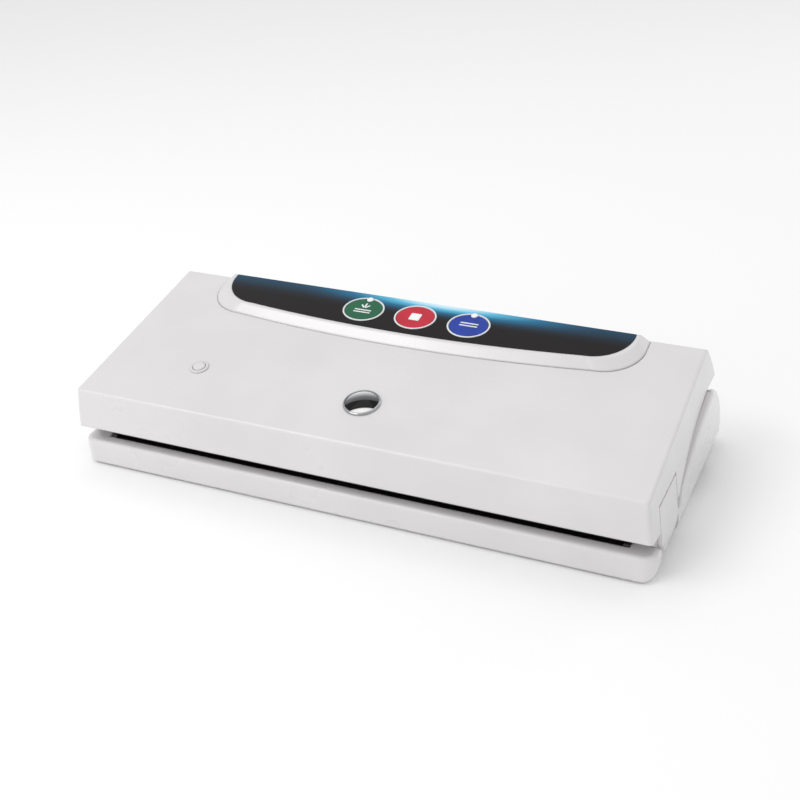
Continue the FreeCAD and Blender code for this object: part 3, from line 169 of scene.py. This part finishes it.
def printed_film(settings):
    """Polycarbonate film printed on its back: deep black with a blue glow along its rear edge."""
    material, tree, shader = new_finish("polycarbonate film, back printed", settings.film_colour, 0.22,
                                        IOR=1.3)
    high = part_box("panel_overlay")[1]
    glow_depth = 17 * MM            # how far the glow reaches forward from the rear edge
    glow_middle = 14 * MM           # how far right of the middle it is brightest
    glow_reach = high.x * 0.8       # how far to either side it sinks to its least
    parts = add(tree, "ShaderNodeSeparateXYZ", Vector=place(tree))
    depth = add(tree, "ShaderNodeMapRange", {"interpolation_type": "SMOOTHSTEP"}, Value=parts.outputs["Y"],
                From_Min=high.y - glow_depth, From_Max=high.y, To_Min=0.0, To_Max=1.0)
    offset = add(tree, "ShaderNodeMath", {"operation": "SUBTRACT"}, _0=parts.outputs["X"], _1=glow_middle)
    away = add(tree, "ShaderNodeMath", {"operation": "ABSOLUTE"}, _0=offset.outputs[0])
    across = add(tree, "ShaderNodeMapRange", {"interpolation_type": "SMOOTHSTEP"}, Value=away.outputs[0],
                 From_Min=0.0, From_Max=glow_reach, To_Min=1.0, To_Max=0.3)
    glow = add(tree, "ShaderNodeMath", {"operation": "MULTIPLY"}, _0=depth.outputs["Result"],
               _1=across.outputs["Result"])
    ramp = add(tree, "ShaderNodeValToRGB", Fac=glow.outputs[0])
    ramp.color_ramp.elements[0].color = linear(settings.film_colour)
    ramp.color_ramp.elements[1].color = linear("#CFEFFA")
    for position, colour in ((0.12, "#12202C"), (0.30, "#163F58"), (0.55, "#1F6C92"), (0.80, "#56B4D6")):
        ramp.color_ramp.elements.new(position).color = linear(colour)
    tree.links.new(ramp.outputs["Color"], shader.inputs["Base Color"])
    roughen(tree, shader, 30.0, 0.18, 0.26)
    return material


def clear_coated(name, colour, shade):
    """Even colour under a thin clear gloss, as on a key cap over its printed disc or on solder mask."""
    material, tree, shader = new_finish(name, colour, 0.3, IOR=1.35, Coat_Weight=0.15, Coat_Roughness=0.1)
    tint(tree, shader, 12.0, colour, shade)
    grain(tree, shader, 2.0, 0.004)
    return material


def rubber(name, colour, shade, size_mm, depth_mm):
    """Moulded or foamed rubber: dark, dull and slightly pitted."""
    material, tree, shader = new_finish(name, colour, 0.75, IOR=1.5, Sheen_Weight=0.1)
    tint(tree, shader, 6.0, colour, shade)
    cells = add(tree, "ShaderNodeTexVoronoi", Vector=place(tree), Scale=per_metre(size_mm))
    emboss(tree, shader, cells.outputs["Distance"], depth_mm)
    return material


def coated_cloth():
    """Glass cloth coated with PTFE: black, slippery, with the weave just showing through."""
    material, tree, shader = new_finish("PTFE-coated glass cloth tape", "#0A0A0B", 0.45, IOR=1.3)
    thread = 0.9             # the real thread is half this, too fine to show
    first = add(tree, "ShaderNodeTexWave", {"bands_direction": "X"}, Vector=place(tree),
                Scale=wave_scale(thread))
    second = add(tree, "ShaderNodeTexWave", {"bands_direction": "Y"}, Vector=place(tree),
                 Scale=wave_scale(thread))
    weave = add(tree, "ShaderNodeMath", {"operation": "MULTIPLY"}, _0=first.outputs["Fac"],
                _1=second.outputs["Fac"])
    emboss(tree, shader, weave.outputs[0], 0.04)
    roughen(tree, shader, 5.0, 0.4, 0.5)
    return material


def metal(name, colour, shade, rough, lines=None):
    """Bare or plated metal: mirror, turned or rolled, with a little wear in its gloss."""
    material, tree, shader = new_finish(name, colour, rough, Metallic=1.0)
    tint(tree, shader, 9.0, colour, shade)
    roughen(tree, shader, 3.0, rough * 0.8, rough * 1.25)
    if lines:
        bands(tree, shader, *lines)
    return material


def painted_reflection_lens():
    """Dark glossy acrylic dome with a mirror's reflection painted on: painted grey rising to white above, near
    black below a slanting border, and a painted white highlight at the front rim.
    """
    material, tree, shader = new_finish("dark acrylic dome, painted reflection", "#0C0B0D", 0.08, IOR=1.25)
    low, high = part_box("sight_lens")
    middle = (low + high) / 2
    radius = (high.x - low.x) / 2
    lean = 0.45                     # rise of the border for each millimetre to the right
    parts = add(tree, "ShaderNodeSeparateXYZ", Vector=place(tree))
    across = add(tree, "ShaderNodeMath", {"operation": "MULTIPLY_ADD"}, _0=parts.outputs["X"], _1=-lean,
                 _2=lean * middle.x)
    along = add(tree, "ShaderNodeMath", {"operation": "SUBTRACT"}, _0=parts.outputs["Y"], _1=middle.y)
    slant = add(tree, "ShaderNodeMath", {"operation": "ADD"}, _0=across.outputs[0], _1=along.outputs[0])
    span = add(tree, "ShaderNodeMapRange", Value=slant.outputs[0], From_Min=-radius, From_Max=radius)
    # Painted reflection of the room: white highlight at the front rim, near black below the slanting border, grey
    # rising to white towards the rear.
    ramp = add(tree, "ShaderNodeValToRGB", Fac=span.outputs["Result"])
    ramp.color_ramp.elements[0].color = linear("#F2EFEF")
    ramp.color_ramp.elements[1].color = linear("#F0F1F2")
    for position, colour in ((0.10, "#E8E4E4"), (0.13, "#151415"), (0.42, "#0C0B0D"), (0.45, "#4E4D4F"),
                             (0.62, "#6D6D6F"), (0.80, "#B4B5B7")):
        ramp.color_ramp.elements.new(position).color = linear(colour)
    tree.links.new(ramp.outputs["Color"], shader.inputs["Base Color"])
    roughen(tree, shader, 6.0, 0.04, 0.07)
    return material


def make_finishes(settings):
    """Every finish, by the record's material slot."""
    return {
        "white_shell": moulded_abs("ABS, polished mould, white", settings.shell_colour, "#D6D4D5"),
        "inner_plastic": textured_abs("ABS, textured mould, white", "#D6D4D3", "#CDCBCA"),
        "pale_rim": moulded_abs("ABS, hot-foil rim", "#E9ECEE", "#DDE1E4", (0.18, 0.26), 0.5),
        "lamp_lens": moulded_abs("polycarbonate, diffusing lamp lens", "#F4F5F6", "#ECEDEF", (0.15,
                                 0.22), 0.6),
        "overlay_black": printed_film(settings),
        "key_green": clear_coated("acrylic key cap, green", settings.green_colour, "#05573A"),
        "key_red": clear_coated("acrylic key cap, red", settings.red_colour, "#B9152F"),
        "key_blue": clear_coated("acrylic key cap, blue", settings.blue_colour, "#0A2F90"),
        "steel": metal("zinc-plated steel, rolled", "#A9ABAD", "#C4C5C6", 0.32),
        "motor_can": metal("drawn steel can", "#8F9193", "#A6A8AA", 0.30, lines=(0.5, 0.01, "X")),
        "ribbon_metal": metal("nickel-chrome ribbon, rolled", "#9C9892", "#B2AEA8", 0.28, lines=(0.3,
                              0.01, "Y")),
        "tape_black": coated_cloth(),
        "carrier_plastic": textured_abs("phenolic bar, sawn", "#1B1A1A", "#242322"),
        "seal_foam": rubber("EPDM foam, cut", "#3B3B3C", "#2E2E2F", 0.9, 0.15),
        "foot_rubber": rubber("soft rubber, moulded", "#6F6F70", "#626263", 0.8, 0.03),
        "press_rubber": rubber("silicone strip, extruded", "#1C1C1D", "#262627", 1.2, 0.02),
        "pump_plastic": textured_abs("glass-filled nylon, moulded", "#222224", "#1A1A1C"),
        "crank_brass": metal("brass, turned", "#C9A45C", "#B8924B", 0.25, lines=(0.4, 0.01, "X")),
        "hose_rubber": rubber("silicone hose, extruded", "#C9CACB", "#BDBEC0", 1.5, 0.02),
        "coil_copper": metal("enamelled copper wire, wound", "#B5743A", "#9C5F2C", 0.3, lines=(0.8, 0.12,
                             "Z")),
        "board_green": clear_coated("glass-epoxy board, solder mask", "#15603A", "#104D2E"),
        "part_black": textured_abs("epoxy component cases", "#1D1D1F", "#2A2A2D"),
        "chrome_ring": metal("chromium plate, polished", "#A9ABAD", "#B6B8BA", 0.07),
        "lens_dark": painted_reflection_lens(),
        "plunger_red": clear_coated("acetal plunger, red", "#A3211C", "#8C1A16"),
        "symbol_white": moulded_abs("pad-printed ink, white", "#F2F3F4", "#E6E8EA", (0.35, 0.45), 0.1),
    }


FINISH = {}

SHARP_ANGLE = 28.0              # degrees above which an edge stays sharp
FACE_BAND = 0.05 * MM           # depth of the band of points taken as a key's top face
INK_SINK = 0.01 * MM            # how far the ink starts below the face, so that no gap shows
END_STEPS = 6                   # facets round the end of a stroke
CORNER_STEPS = 4                # facets round the corner of a square

# Strokes of each symbol in millimetres from the key's middle, each from one point to another.
SEAL_WITH_AIR = ((-5.4, -4.0, 5.4, -4.0), (-5.4, -1.6, 5.4, -1.6), (0, 5.2, 0, 2.0), (-2.6, 3.4, -0.7, 1.3),
                 (2.6, 3.4, 0.7, 1.3))
SEAL_ONLY = ((-5.6, 1.3, 5.6, 1.3), (-5.6, -1.3, 5.6, -1.3))
STOP_HALF = 3.6
STOP_RADIUS = 0.7

# Each light's name, place and size in metres, and power in watts.
LIGHTS = (("overhead", (-0.3, 0.2, 1.4), (1.2, 0.9), 2.5),
          ("front", (-0.6, -1.5, 0.5), (1.2, 0.6), 2.2),
          ("brow", (-0.58, -0.72, 1.13), (0.9, 0.35), 4.5),
          ("back right", (0.75, 1.2, 0.58), (0.6, 0.4), 1.0))
LIGHT_AIM = Vector((0, 0, 0.04))
SENSOR_WIDTH = 36.0             # millimetres


# ---- Mesh helpers -----------------------------------------------------------------------------------------
def smooth_by_angle(mesh, degrees):
    """Smooth shading with edges kept sharp above an angle."""
    for polygon in mesh.polygons:
        polygon.use_smooth = True
    mesh.set_sharp_from_angle(angle=math.radians(degrees))


def new_piece(name, mesh, body, slot):
    """Puts a finished mesh in the scene as a piece of the object, with the record's slot that it is like."""
    piece = bpy.data.objects.new(name, mesh)
    bpy.context.scene.collection.objects.link(piece)
    mesh.materials.clear()
    mesh.materials.append(FINISH[slot])
    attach(piece, body)
    return piece


def face_middle(node):
    """Middle of the tilted top face of a key."""
    low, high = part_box(node)
    points = [v.co for v in NODES[node].data.vertices]
    height = max(point.dot(OUTWARD) for point in points)
    rim = [point for point in points if point.dot(OUTWARD) > height - FACE_BAND]
    centre = sum(rim, Vector()) / len(rim)
    centre.x = ((low + high) / 2).x
    return centre + OUTWARD * (height - centre.dot(OUTWARD))


def panel_normal():
    """The direction that the keys come out of the panel, from their own joint."""
    joint = next(j for j in frame["joints"] if j["child"] == "key_middle")
    return -Vector(joint["axis"]).normalized()


OUTWARD = panel_normal()
ACROSS = Vector((1, 0, 0))
UPWARD = OUTWARD.cross(ACROSS)


def ribbon_mesh(name, outlines, origin, thickness):
    """Thin raised shapes on a tilted face, each from a closed outline in millimetres."""
    mesh = bpy.data.meshes.new(name)
    build = bmesh.new()
    for outline in outlines:
        base = [build.verts.new(origin + ACROSS * (x * MM) + UPWARD * (y * MM)) for x, y in outline]
        face = build.faces.new(base)
        face.normal_update()
        if face.normal.dot(OUTWARD) < 0:
            face.normal_flip()
        grown = bmesh.ops.extrude_face_region(build, geom=[face])
        lifted = [g for g in grown["geom"] if isinstance(g, bmesh.types.BMVert)]
        bmesh.ops.translate(build, vec=OUTWARD * (thickness * MM), verts=lifted)
    bmesh.ops.recalc_face_normals(build, faces=build.faces)
    build.to_mesh(mesh)
    build.free()
    return mesh


def bar(x0, y0, x1, y1, width):
    """Outline of a straight stroke with round ends."""
    along = Vector((x1 - x0, y1 - y0)).normalized()
    heading = math.atan2(along.y, along.x)
    points = []
    for cx, cy, start in ((x1, y1, heading - math.pi / 2), (x0, y0, heading + math.pi / 2)):
        for step in range(END_STEPS + 1):
            angle = start + math.pi * step / END_STEPS
            points.append((cx + width / 2 * math.cos(angle), cy + width / 2 * math.sin(angle)))
    return points


def rounded_square(half, radius):
    """Outline of a square with round corners."""
    points = []
    for quarter, (sx, sy) in enumerate(((1, 1), (-1, 1), (-1, -1), (1, -1))):
        for step in range(CORNER_STEPS + 1):
            angle = math.pi / 2 * (quarter + step / CORNER_STEPS)
            points.append((sx * (half - radius) + radius * math.cos(angle),
                           sy * (half - radius) + radius * math.sin(angle)))
    return points


# ---- Settings ---------------------------------------------------------------------------------------------
class SealerSettings(bpy.types.PropertyGroup):
    """Colours and sizes that a user may change."""
    shell_colour: bpy.props.StringProperty(name="Shell", description="Colour of the white mouldings",
                                           default="#DBD9DA")
    film_colour: bpy.props.StringProperty(name="Film", description="Darkest colour of the panel film",
                                          default="#0D070A")
    green_colour: bpy.props.StringProperty(name="Green key", description="Colour of the left key",
                                            default="#04603C")
    red_colour: bpy.props.StringProperty(name="Red key", description="Colour of the middle key",
                                          default="#C81B36")
    blue_colour: bpy.props.StringProperty(name="Blue key", description="Colour of the right key",
                                           default="#0B3AA6")
    stroke: bpy.props.FloatProperty(name="Symbol stroke", description="Width of the strokes in millimetres",
                                    default=1.1, min=0.2, max=3.0)
    ink: bpy.props.FloatProperty(name="Ink height", description="Height of the symbols in millimetres",
                                 default=0.06, min=0.01, max=0.5)


class StageSettings(bpy.types.PropertyGroup):
    """Camera and light values."""
    azimuth: bpy.props.FloatProperty(name="Azimuth", description="Camera direction round the part",
                                     default=math.radians(25.412), subtype="ANGLE")
    elevation: bpy.props.FloatProperty(name="Elevation", description="Camera height above the table plane",
                                       default=math.radians(29.66), subtype="ANGLE")
    roll: bpy.props.FloatProperty(name="Roll", description="Turn of the camera about its own line of sight",
                                  default=math.radians(-2.856), subtype="ANGLE")
    distance: bpy.props.FloatProperty(name="Distance", description="Camera to the point it looks at",
                                      default=0.7984, unit="LENGTH")
    aim: bpy.props.FloatVectorProperty(name="Aim", description="Point that the camera looks at", size=3,
                                       default=(0.01129, -0.01959, 0.0512), subtype="XYZ")
    lens: bpy.props.FloatProperty(name="Lens", description="Focal length in millimetres", default=57.95)
    backdrop: bpy.props.FloatProperty(name="Backdrop", description="Strength of the white surroundings",
                                      default=0.76)


# ---- Operators --------------------------------------------------------------------------------------------
class SEALER_OT_finishes(bpy.types.Operator):
    """Gives every moulded, turned and printed part its finish"""
    bl_idname = "sealer.finishes"
    bl_label = "Finishes"

    def execute(self, context):
        FINISH.update(make_finishes(context.scene.sealer))
        for entry in frame["record"]["subparts"]:
            mesh = NODES[entry["node"]].data
            mesh.materials.clear()
            mesh.materials.append(FINISH[entry["material_slot"]])
            smooth_by_angle(mesh, SHARP_ANGLE)
        return {"FINISHED"}


class SEALER_OT_symbols(bpy.types.Operator):
    """Draws a plain symbol on each key: seal with air drawn, stop, and seal only"""
    bl_idname = "sealer.symbols"
    bl_label = "Key symbols"

    def execute(self, context):
        stroke = context.scene.sealer.stroke
        ink = context.scene.sealer.ink
        drawings = {"key_left": [bar(*ends, stroke) for ends in SEAL_WITH_AIR],
                    "key_middle": [rounded_square(STOP_HALF, STOP_RADIUS)],
                    "key_right": [bar(*ends, stroke) for ends in SEAL_ONLY]}
        for node, outlines in drawings.items():
            mesh = ribbon_mesh(node + "_symbol", outlines, face_middle(node) - OUTWARD * INK_SINK, ink)
            new_piece(node + "_symbol", mesh, BODY_OF[node], "symbol_white")
        return {"FINISHED"}


class SEALER_OT_stage(bpy.types.Operator):
    """Sets up the pale floor, the soft lights and the camera"""
    bl_idname = "sealer.stage"
    bl_label = "Stage"

    def execute(self, context):
        stage = context.scene.sealer_stage
        mesh = bpy.data.meshes.new("floor")
        reach = 6.0
        mesh.from_pydata([(-reach, -reach, 0), (reach, -reach, 0), (reach, reach, 0), (-reach, reach, 0)], [],
                         [(0, 1, 2, 3)])
        floor = bpy.data.objects.new("floor", mesh)
        context.scene.collection.objects.link(floor)
        paper = new_finish("white studio paper", "#FCFCFC", 0.9)[0]
        mesh.materials.append(paper)
        world = bpy.data.worlds.new("studio")
        world.use_nodes = True
        surround = world.node_tree.nodes["Background"]
        surround.inputs["Color"].default_value = linear("#FFFFFF")
        surround.inputs["Strength"].default_value = stage.backdrop
        context.scene.world = world
        for name, spot, size, power in LIGHTS:
            self.soft_light(context, name, Vector(spot), size, power)
        self.camera(context, stage)
        context.scene.view_settings.view_transform = "Standard"
        return {"FINISHED"}

    def soft_light(self, context, name, spot, size, power):
        """One large rectangular light that faces the part."""
        data = bpy.data.lights.new(name, "AREA")
        data.shape = "RECTANGLE"
        data.size, data.size_y = size
        data.energy = power
        light = bpy.data.objects.new(name, data)
        light.location = spot
        light.rotation_euler = (LIGHT_AIM - spot).to_track_quat("-Z", "Y").to_euler()
        context.scene.collection.objects.link(light)

    def camera(self, context, stage):
        """The camera on its line of sight, with its roll."""
        a, e, r = stage.azimuth, stage.elevation, stage.roll
        back = Vector((math.sin(a) * math.cos(e), -math.cos(a) * math.cos(e), math.sin(e)))
        right = Vector((math.cos(a), math.sin(a), 0.0))
        up = back.cross(right)
        across = right * math.cos(r) + up * math.sin(r)
        upright = up * math.cos(r) - right * math.sin(r)
        data = bpy.data.cameras.new("camera")
        data.lens = stage.lens
        data.sensor_width = SENSOR_WIDTH
        camera = bpy.data.objects.new("camera", data)
        turn = Matrix((across, upright, back)).transposed().to_4x4()
        camera.matrix_world = Matrix.Translation(Vector(stage.aim) + back * stage.distance) @ turn
        context.scene.collection.objects.link(camera)
        context.scene.camera = camera


class SEALER_PT_panel(bpy.types.Panel):
    """Lists the sealer's settings and steps"""
    bl_idname = "SEALER_PT_panel"
    bl_label = "Vacuum sealer"
    bl_space_type = "VIEW_3D"
    bl_region_type = "UI"
    bl_category = "Sealer"

    def draw(self, context):
        for group in (context.scene.sealer, context.scene.sealer_stage):
            for name in group.__annotations__:
                self.layout.prop(group, name)
        for operator in OPERATORS:
            self.layout.operator(operator.bl_idname)


OPERATORS = (SEALER_OT_finishes, SEALER_OT_symbols, SEALER_OT_stage)
CLASSES = (SealerSettings, StageSettings) + OPERATORS + (SEALER_PT_panel,)


def register():
    for cls in CLASSES:
        bpy.utils.register_class(cls)
    bpy.types.Scene.sealer = bpy.props.PointerProperty(type=SealerSettings)
    bpy.types.Scene.sealer_stage = bpy.props.PointerProperty(type=StageSettings)


def unregister():
    del bpy.types.Scene.sealer_stage
    del bpy.types.Scene.sealer
    for cls in reversed(CLASSES):
        bpy.utils.unregister_class(cls)


def main():
    """Builds everything."""
    register()
    bpy.ops.sealer.finishes()
    bpy.ops.sealer.symbols()
    bpy.ops.sealer.stage()


if __name__ == "__main__":
    main()
